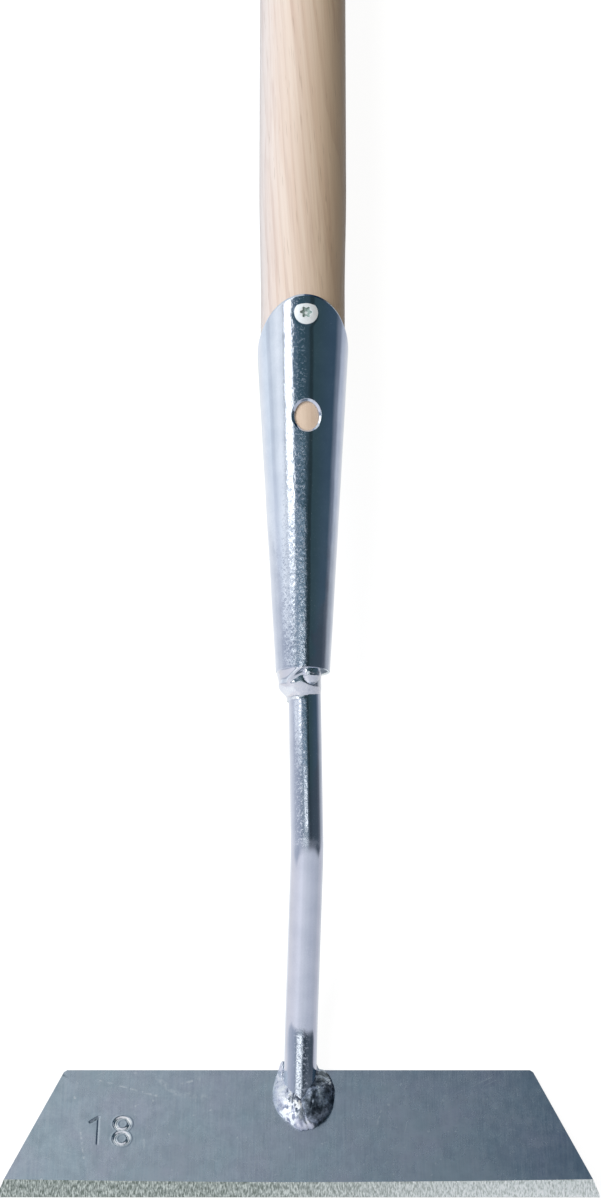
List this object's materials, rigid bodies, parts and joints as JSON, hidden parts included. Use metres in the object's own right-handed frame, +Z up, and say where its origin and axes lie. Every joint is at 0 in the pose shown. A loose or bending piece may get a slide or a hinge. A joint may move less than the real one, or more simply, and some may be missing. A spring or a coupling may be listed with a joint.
{
  "type": "dutch hoe",
  "caption": "Long-handled push hoe: ash pole in a rolled sheet socket, bent round neck welded to a flat trapezium blade with a ground cutting edge.",
  "frame": {"origin": "on the floor below the middle of the tool's length, on the middle line of the blade", "axes": "+Y along the handle towards its butt, +Z up, +X to the right when the blade is nearest and the tongue of the socket faces up"},
  "size_m": [0.18, 1.8859, 0.04],
  "materials": {
    "ash_wood": "sanded, unvarnished",
    "socket_sheet": "bright zinc plate, slightly wavy from rolling",
    "screw_steel": "bright plated",
    "neck_steel": "bright zinc plate",
    "weld_metal": "zinc plate over weld beads",
    "blade_steel": "satin plate with a bare ground bevel"
  },
  "bodies": {
    "root": {"handle": "ash_wood", "socket": "socket_sheet", "tongue_screw": "screw_steel", "neck": "neck_steel", "socket_weld": "weld_metal", "blade": "blade_steel", "foot_weld_left": "weld_metal", "foot_weld_right": "weld_metal"}
  },
  "joints": []
}
